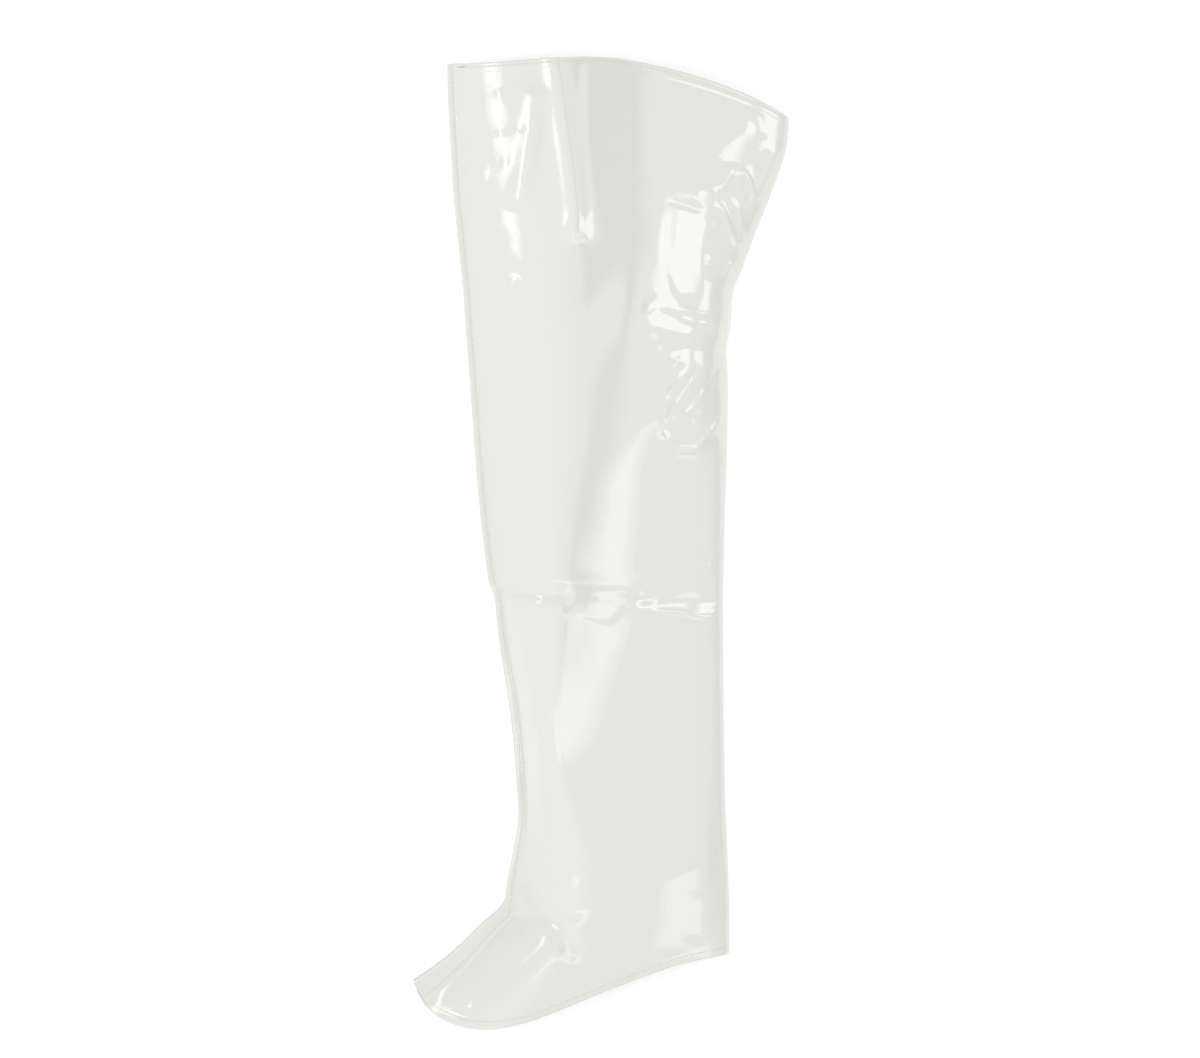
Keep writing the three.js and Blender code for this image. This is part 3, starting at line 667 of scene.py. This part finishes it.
def stitch_places(line, normals, sizes):
    """Middles and directions of stitches along a line of points."""
    pitch, length = sizes.stitch_pitch / MM, sizes.stitch_length / MM
    run = np.concatenate([[0], np.cumsum(np.linalg.norm(np.diff(line, axis=0), axis=1))])
    middles = np.arange(pitch, run[-1] - pitch, pitch)

    def at(places, values):
        return np.stack([np.interp(places, run, values[:, k]) for k in range(3)], 1)

    ends = at(middles - length / 2, line), at(middles + length / 2, line)
    lift = unit(at(middles, normals)) * sizes.thread / MM * THREAD_PROUD
    return (ends[0] + ends[1]) / 2 + lift, unit(ends[1] - ends[0])


def panel_line(section, share, step):
    """Points of the upper panel across one row, and its outward normals there."""
    rings = section.outer(np.array([share, share + step]))[:, len(SEAM_TOP):len(SEAM_TOP) + TOP_POINTS]
    line = rings[0]
    normals = np.cross(np.gradient(line, axis=0), rings[1] - rings[0])
    return line, normals * np.sign(normals[len(line) // 2, 2])


def seam_line(section):
    """Points of the front seam's stitching from collar to toe."""
    row = rows_at(even_rows(*SEAM_RUN, SEAM_POINTS))
    across = row["edge"] * SEAM_STITCH
    height = SEAM_LIFT + section.wall * np.interp(SEAM_STITCH, *np.transpose(SEAM_TOP))
    line = to_frame(row, across, height + 0 * across)[:, 0]
    return line, np.tile([0.0, 0.0, 1.0], (len(line), 1))


def build_stitches(name, sizes):
    """All the stitches that show, as small spindles of thread in one mesh."""
    section = Section(sizes.wall / MM, sizes.hem_depth / MM)
    lines = [
        panel_line(section, hem_share(0, COLLAR_STITCH), NORMAL_STEP),
        panel_line(section, 1 - hem_share(1, FOOT_STITCH), -NORMAL_STEP),
        seam_line(section),
    ]
    places = [stitch_places(line, normals, sizes) for line, normals in lines]
    middles = np.concatenate([p[0] for p in places])
    directions = np.concatenate([p[1] for p in places])
    skew = np.random.default_rng(STITCH_SEED).normal(0, STITCH_SKEW, directions.shape)
    directions = unit(directions + skew)
    sideways = unit(np.cross(directions, [0.0, 0.0, 1.0]))
    turns = np.stack([directions, sideways, np.cross(directions, sideways)], 1)
    bm = bmesh.new()
    bmesh.ops.create_uvsphere(bm, u_segments=THREAD_SIDES, v_segments=THREAD_RINGS, radius=0.5)
    bmesh.ops.rotate(bm, verts=bm.verts, matrix=Matrix.Rotation(np.pi / 2, 3, "Y"))
    bmesh.ops.scale(bm, verts=bm.verts, vec=(sizes.stitch_length, sizes.thread, sizes.thread))
    mesh = bpy.data.meshes.new(name)
    bm.to_mesh(mesh)
    spindle = np.array([v.co for v in mesh.vertices])
    for _ in middles[1:]:
        bm.from_mesh(mesh, face_normals=False, vertex_normals=False)
    bm.to_mesh(mesh)
    bm.free()
    mesh.vertices.foreach_set("co", (middles[:, None] * MM + spindle @ turns).astype(np.float32).ravel())
    mesh.polygons.foreach_set("use_smooth", np.ones(len(mesh.polygons), bool))
    mesh.update()
    return add_object(name, mesh)


# Materials

# Scales of the clouds, waves and ripples, and depths of their relief in metres. A wave is about 0.31
# of a metre over its scale long, which makes the ribs and loops 1 to 1.3 mm.
CLOUD_SCALE = 9.0
RIB_SCALE = 320.0
RIB_DEPTH = 0.000006
PEEL_SCALE = 170.0
PEEL_DEPTH = 0.00002
WALE_SCALE = 240.0
COURSE_SCALE = 330.0
LOOP_DEPTH = 0.0003
# Colour between the backing's loops, as a share of the loops' own.
LOOP_SHADE = 0.8


def new_material(name):
    material = bpy.data.materials.new(name)
    material.use_nodes = True
    tree = material.node_tree
    shader = tree.nodes["Principled BSDF"]
    return material, tree, shader


def node(tree, kind, **values):
    made = tree.nodes.new(kind)
    for key, value in values.items():
        if key in made.inputs:
            made.inputs[key].default_value = value
        else:
            setattr(made, key, value)
    return made


def combined(tree, operation, first, second):
    result = node(tree, "ShaderNodeMath", operation=operation)
    tree.links.new(first, result.inputs[0])
    tree.links.new(second, result.inputs[1])
    return result.outputs["Value"]


def scaled(tree, value, factor, plus):
    """The value times a factor, plus a number."""
    result = node(tree, "ShaderNodeMath", operation="MULTIPLY_ADD")
    tree.links.new(value, result.inputs[0])
    result.inputs[1].default_value = factor
    result.inputs[2].default_value = plus
    return result.outputs["Value"]


def vinyl_material(finish):
    """Off-white patent vinyl: a mirror-like coat over a faint print of the knit behind it."""
    material, tree, shader = new_material("patent vinyl")
    link = tree.links.new
    place = node(tree, "ShaderNodeTexCoord")
    clouds = node(tree, "ShaderNodeTexNoise", Scale=CLOUD_SCALE, Detail=2.0)
    link(place.outputs["Object"], clouds.inputs["Vector"])
    tint = node(tree, "ShaderNodeMix", data_type="RGBA")
    tint.inputs["A"].default_value = (*finish.vinyl, 1)
    tint.inputs["B"].default_value = (*finish.vinyl_warm, 1)
    link(clouds.outputs["Fac"], tint.inputs["Factor"])
    link(tint.outputs["Result"], shader.inputs["Base Color"])
    shader.inputs["Roughness"].default_value = 0.4
    shader.inputs["IOR"].default_value = 1.5
    shader.inputs["Coat Weight"].default_value = 1.0
    shader.inputs["Coat IOR"].default_value = 1.7
    shader.inputs["Coat Roughness"].default_value = finish.gloss_roughness
    cloth = node(tree, "ShaderNodeUVMap", uv_map="cloth")
    ribs = node(tree, "ShaderNodeTexWave", Scale=RIB_SCALE, Distortion=1.5, Detail=2.0)
    link(cloth.outputs["UV"], ribs.inputs["Vector"])
    peel = node(tree, "ShaderNodeTexNoise", Scale=PEEL_SCALE, Detail=2.0)
    link(cloth.outputs["UV"], peel.inputs["Vector"])
    fine = node(tree, "ShaderNodeBump", Strength=1.0, Distance=RIB_DEPTH)
    link(ribs.outputs["Fac"], fine.inputs["Height"])
    coarse = node(tree, "ShaderNodeBump", Strength=1.0, Distance=PEEL_DEPTH)
    link(peel.outputs["Fac"], coarse.inputs["Height"])
    link(fine.outputs["Normal"], coarse.inputs["Normal"])
    link(coarse.outputs["Normal"], shader.inputs["Normal"])
    link(coarse.outputs["Normal"], shader.inputs["Coat Normal"])
    return material


def thread_material(finish):
    """Matte polyester thread."""
    material, _, shader = new_material("thread")
    shader.inputs["Base Color"].default_value = (*finish.thread, 1)
    shader.inputs["Roughness"].default_value = 0.6
    return material


def knit_material(finish):
    """Matte knitted backing: wales and courses of small loops."""
    material, tree, shader = new_material("knit backing")
    link = tree.links.new
    cloth = node(tree, "ShaderNodeUVMap", uv_map="cloth")
    wales = node(tree, "ShaderNodeTexWave", Scale=WALE_SCALE, Distortion=1.0, Detail=1.0)
    courses = node(
        tree, "ShaderNodeTexWave", bands_direction="Y", Scale=COURSE_SCALE, Distortion=2.0, Detail=1.0
    )
    link(cloth.outputs["UV"], wales.inputs["Vector"])
    link(cloth.outputs["UV"], courses.inputs["Vector"])
    loops = combined(tree, "MULTIPLY", wales.outputs["Fac"], courses.outputs["Fac"])
    shade = node(tree, "ShaderNodeMix", data_type="RGBA")
    shade.inputs["A"].default_value = (*[c * LOOP_SHADE for c in finish.backing], 1)
    shade.inputs["B"].default_value = (*finish.backing, 1)
    link(loops, shade.inputs["Factor"])
    link(shade.outputs["Result"], shader.inputs["Base Color"])
    shader.inputs["Roughness"].default_value = 0.9
    shader.inputs["Sheen Weight"].default_value = 0.2
    bump = node(tree, "ShaderNodeBump", Strength=0.6, Distance=LOOP_DEPTH)
    link(loops, bump.inputs["Height"])
    link(bump.outputs["Normal"], shader.inputs["Normal"])
    return material


# Studio

# The room's brighter wall, by the direction that it shines from: low and high x, low and high y,
# softness of the edges, and strength over the room's light.
WALL_LIGHT = (-1.2, -0.3), (-1.2, 0.15), 0.15, 0.35
# The room is darker low on its walls: height of the direction and its softness, then the light held
# back on the side of the toe (-X) and behind the back (+X), and the softness between the two.
LOW_WALLS = 0.3, 0.25
HELD_BACK = 0.15, 0.57
SIDE_SOFTNESS = 0.3
# A grey net over the cover that shades the light from straight above: low and high x, low and
# high y, softness of the edges, and share of the light held back.
NET = (-0.125, 0.042), (-0.14, 0.85), 0.02, 0.92
NET_HEIGHT = 1.06
# Softboxes a metre over the cover: name, shape, middle, size, turn in degrees, and brightness.
SOFTBOXES = [
    ("shin softbox", "ELLIPSE", (0.02, -0.118), (0.46, 0.132), 24, 1.5),
    ("low shin softbox", "ELLIPSE", (-0.38, -0.215), (0.5, 0.09), 9, 1.2),
    ("knee softbox", "RECTANGLE", (0.535, 0.27), (0.73, 0.2), 0, 2.2),
    ("thigh softbox", "RECTANGLE", (-1.175, 0.46), (0.25, 0.44), 0, 3.5),
    ("back softbox", "RECTANGLE", (1.95, 0.41), (1.3, 0.42), 0, 2.3),
    ("heel softbox", "RECTANGLE", (1.0, -0.56), (0.9, 0.38), 0, 1.1),
]
SOFTBOX_HEIGHT = 1.04
# Half the floor's width, and how far the camera sees, in metres.
FLOOR_REACH = 12.0
CLIP_END = 100.0


def add_softbox(name, shape, middle, size, turn, brightness):
    light = bpy.data.lights.new(name, "AREA")
    light.shape = shape
    light.size, light.size_y = size
    area = size[0] * size[1] * (np.pi / 4 if shape == "ELLIPSE" else 1)
    light.energy = brightness * np.pi * area
    lamp = add_object(name, light)
    lamp.location = (*middle, SOFTBOX_HEIGHT)
    lamp.rotation_euler = (0, 0, np.radians(turn))
    lamp.visible_camera = False


def soft_step(tree, value, at, soft, before, after):
    edge = node(tree, "ShaderNodeMapRange", interpolation_type="SMOOTHSTEP")
    edge.inputs["From Min"].default_value = at - soft
    edge.inputs["From Max"].default_value = at + soft
    edge.inputs["To Min"].default_value = before
    edge.inputs["To Max"].default_value = after
    tree.links.new(value, edge.inputs["Value"])
    return edge.outputs["Result"]


def soft_window(tree, parts, across, along, soft):
    """One inside the window, nothing outside, with soft edges."""
    sides = []
    for value, (low, high) in ((parts["X"], across), (parts["Y"], along)):
        rising = soft_step(tree, value, low, soft, 0, 1)
        falling = soft_step(tree, value, high, soft, 1, 0)
        sides.append(combined(tree, "MULTIPLY", rising, falling))
    return combined(tree, "MULTIPLY", *sides)


def studio_world(room):
    """A white room with one brighter wall, darker near the floor."""
    world = bpy.data.worlds.new("studio")
    world.use_nodes = True
    tree = world.node_tree
    background = tree.nodes["Background"]
    background.inputs["Color"].default_value = (1, 1, 1, 1)
    place = node(tree, "ShaderNodeTexCoord")
    parts = node(tree, "ShaderNodeSeparateXYZ")
    tree.links.new(place.outputs["Generated"], parts.inputs["Vector"])
    across, along, soft, power = WALL_LIGHT
    window = soft_window(tree, parts.outputs, across, along, soft)
    above = soft_step(tree, parts.outputs["Z"], 0.0, soft, 0, 1)
    strength = scaled(tree, combined(tree, "MULTIPLY", window, above), power, room)
    low = soft_step(tree, parts.outputs["Z"], *LOW_WALLS, 1, 0)
    held_back = soft_step(tree, parts.outputs["X"], 0, SIDE_SOFTNESS, *HELD_BACK)
    darker = combined(tree, "MULTIPLY", low, held_back)
    tree.links.new(combined(tree, "SUBTRACT", strength, darker), background.inputs["Strength"])
    return world


def add_net():
    """A see-through grey net over the cover, which the camera doesn't see."""
    across, along, soft, held_back = NET
    corners = [
        (across[x] + soft * (2 * x - 1), along[y] + soft * (2 * y - 1), NET_HEIGHT)
        for x, y in ((0, 0), (1, 0), (1, 1), (0, 1))
    ]
    mesh = bpy.data.meshes.new("net")
    mesh.from_pydata(corners, [], [(0, 1, 2, 3)])
    net = add_object("net", mesh)
    material, tree, shader = new_material("net")
    place = node(tree, "ShaderNodeTexCoord")
    parts = node(tree, "ShaderNodeSeparateXYZ")
    tree.links.new(place.outputs["Object"], parts.inputs["Vector"])
    window = soft_window(tree, parts.outputs, across, along, soft)
    through = node(tree, "ShaderNodeBsdfTransparent")
    tree.links.new(scaled(tree, window, -held_back, 1.0), through.inputs["Color"])
    tree.nodes.remove(shader)
    tree.links.new(through.outputs["BSDF"], tree.nodes["Material Output"].inputs["Surface"])
    mesh.materials.append(material)
    net.visible_camera = False


class CoverSizes(bpy.types.PropertyGroup):
    """Sizes of the vinyl and its hems."""

    wall: bpy.props.FloatProperty(
        name="Wall", description="Thickness of the vinyl with its knit backing",
        default=0.001, unit="LENGTH",
    )
    hem_depth: bpy.props.FloatProperty(
        name="Hem depth", description="Depth of the hems turned in at the collar and the foot",
        default=0.008, unit="LENGTH",
    )
    stitch_pitch: bpy.props.FloatProperty(
        name="Stitch pitch", description="From one stitch to the next", default=0.0045, unit="LENGTH"
    )
    stitch_length: bpy.props.FloatProperty(
        name="Stitch length", description="Thread that shows in one stitch", default=0.0034, unit="LENGTH"
    )
    thread: bpy.props.FloatProperty(
        name="Thread", description="Thickness of the sewing thread", default=0.0007, unit="LENGTH"
    )


class CoverFinish(bpy.types.PropertyGroup):
    """Colours and gloss."""

    vinyl: bpy.props.FloatVectorProperty(
        name="Vinyl", description="Main colour of the patent vinyl",
        subtype="COLOR", default=(0.644, 0.651, 0.602),
    )
    vinyl_warm: bpy.props.FloatVectorProperty(
        name="Warm vinyl", description="Colour of its warmer patches",
        subtype="COLOR", default=(0.644, 0.646, 0.585),
    )
    gloss_roughness: bpy.props.FloatProperty(
        name="Gloss roughness", description="Roughness of the coat", default=0.035
    )
    backing: bpy.props.FloatVectorProperty(
        name="Backing", description="Colour of the knitted backing",
        subtype="COLOR", default=(0.62, 0.61, 0.57),
    )
    thread: bpy.props.FloatVectorProperty(
        name="Thread", description="Colour of the sewing thread", subtype="COLOR", default=(0.7, 0.7, 0.65)
    )


class CoverStudio(bpy.types.PropertyGroup):
    """Camera, floor and light."""

    lens: bpy.props.FloatProperty(
        name="Lens", description="Focal length in millimetres", default=150.0
    )
    height: bpy.props.FloatProperty(
        name="Camera height", description="Above the middle of the cover's thickness",
        default=4.0, unit="LENGTH",
    )
    aim: bpy.props.FloatVectorProperty(
        name="Aim", description="Point under the camera", default=(-0.0005, 0.0115, 0.02), subtype="XYZ"
    )
    room: bpy.props.FloatProperty(
        name="Room light", description="Strength of the even white room", default=1.04
    )
    floor: bpy.props.FloatVectorProperty(
        name="Floor", description="Colour of the floor", subtype="COLOR", default=(0.8, 0.8, 0.8)
    )
    floor_glow: bpy.props.FloatProperty(
        name="Floor glow", description="Light that comes up through the floor", default=0.34
    )


class COVER_OT_shell(bpy.types.Operator):
    """Make the vinyl shell with its hems turned in"""

    bl_idname = "boot_cover.shell"
    bl_label = "Vinyl shell"

    def execute(self, context):
        scene = context.scene
        shell = build_shell("vinyl_shell", scene.cover_sizes)
        shell.data.materials.append(vinyl_material(scene.cover_finish))
        shell.data.materials.append(knit_material(scene.cover_finish))
        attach(shell, "root")
        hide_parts("upper", "collar_hem", "sole_hem")
        return {"FINISHED"}


class COVER_OT_stitches(bpy.types.Operator):
    """Sew the collar, the front seam and the foot's hem"""

    bl_idname = "boot_cover.stitches"
    bl_label = "Stitches"

    def execute(self, context):
        scene = context.scene
        stitches = build_stitches("stitches", scene.cover_sizes)
        stitches.data.materials.append(thread_material(scene.cover_finish))
        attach(stitches, "root")
        return {"FINISHED"}


class COVER_OT_stage(bpy.types.Operator):
    """Make the floor, the camera and the studio's light"""

    bl_idname = "boot_cover.stage"
    bl_label = "Stage"

    def execute(self, context):
        studio = context.scene.cover_studio
        mesh = bpy.data.meshes.new("floor")
        bm = bmesh.new()
        bmesh.ops.create_grid(bm, x_segments=1, y_segments=1, size=FLOOR_REACH)
        bm.to_mesh(mesh)
        bm.free()
        floor = add_object("floor", mesh)
        material, _, shader = new_material("studio floor")
        shader.inputs["Base Color"].default_value = (*studio.floor, 1)
        shader.inputs["Roughness"].default_value = 0.9
        shader.inputs["Emission Color"].default_value = (1, 1, 1, 1)
        shader.inputs["Emission Strength"].default_value = studio.floor_glow
        mesh.materials.append(material)
        camera = add_object("camera", bpy.data.cameras.new("camera"))
        camera.data.lens = studio.lens
        camera.data.clip_end = CLIP_END
        camera.location = Vector(studio.aim) + Vector((0, 0, studio.height))
        context.scene.camera = camera
        context.scene.world = studio_world(studio.room)
        add_net()
        for softbox in SOFTBOXES:
            add_softbox(*softbox)
        context.scene.view_settings.view_transform = "Standard"
        return {"FINISHED"}


class COVER_PT_panel(bpy.types.Panel):
    """Lists the cover's pieces"""

    bl_idname = "COVER_PT_panel"
    bl_label = "Boot Cover"
    bl_space_type = "VIEW_3D"
    bl_region_type = "UI"
    bl_category = "Boot Cover"

    def draw(self, context):
        for operator in OPERATORS:
            self.layout.operator(operator.bl_idname)
        for group in (context.scene.cover_sizes, context.scene.cover_finish, context.scene.cover_studio):
            for key in group.__annotations__:
                self.layout.prop(group, key)


GROUPS = {"cover_sizes": CoverSizes, "cover_finish": CoverFinish, "cover_studio": CoverStudio}
OPERATORS = (COVER_OT_shell, COVER_OT_stitches, COVER_OT_stage)


def register():
    for cls in (*GROUPS.values(), *OPERATORS, COVER_PT_panel):
        bpy.utils.register_class(cls)
    for key, group in GROUPS.items():
        setattr(bpy.types.Scene, key, bpy.props.PointerProperty(type=group))


def unregister():
    for key in GROUPS:
        delattr(bpy.types.Scene, key)
    for cls in (COVER_PT_panel, *reversed(OPERATORS), *GROUPS.values()):
        bpy.utils.unregister_class(cls)


def main():
    register()
    for operator in OPERATORS:
        group, action = operator.bl_idname.split(".")
        getattr(getattr(bpy.ops, group), action)()


if __name__ == "__main__":
    main()
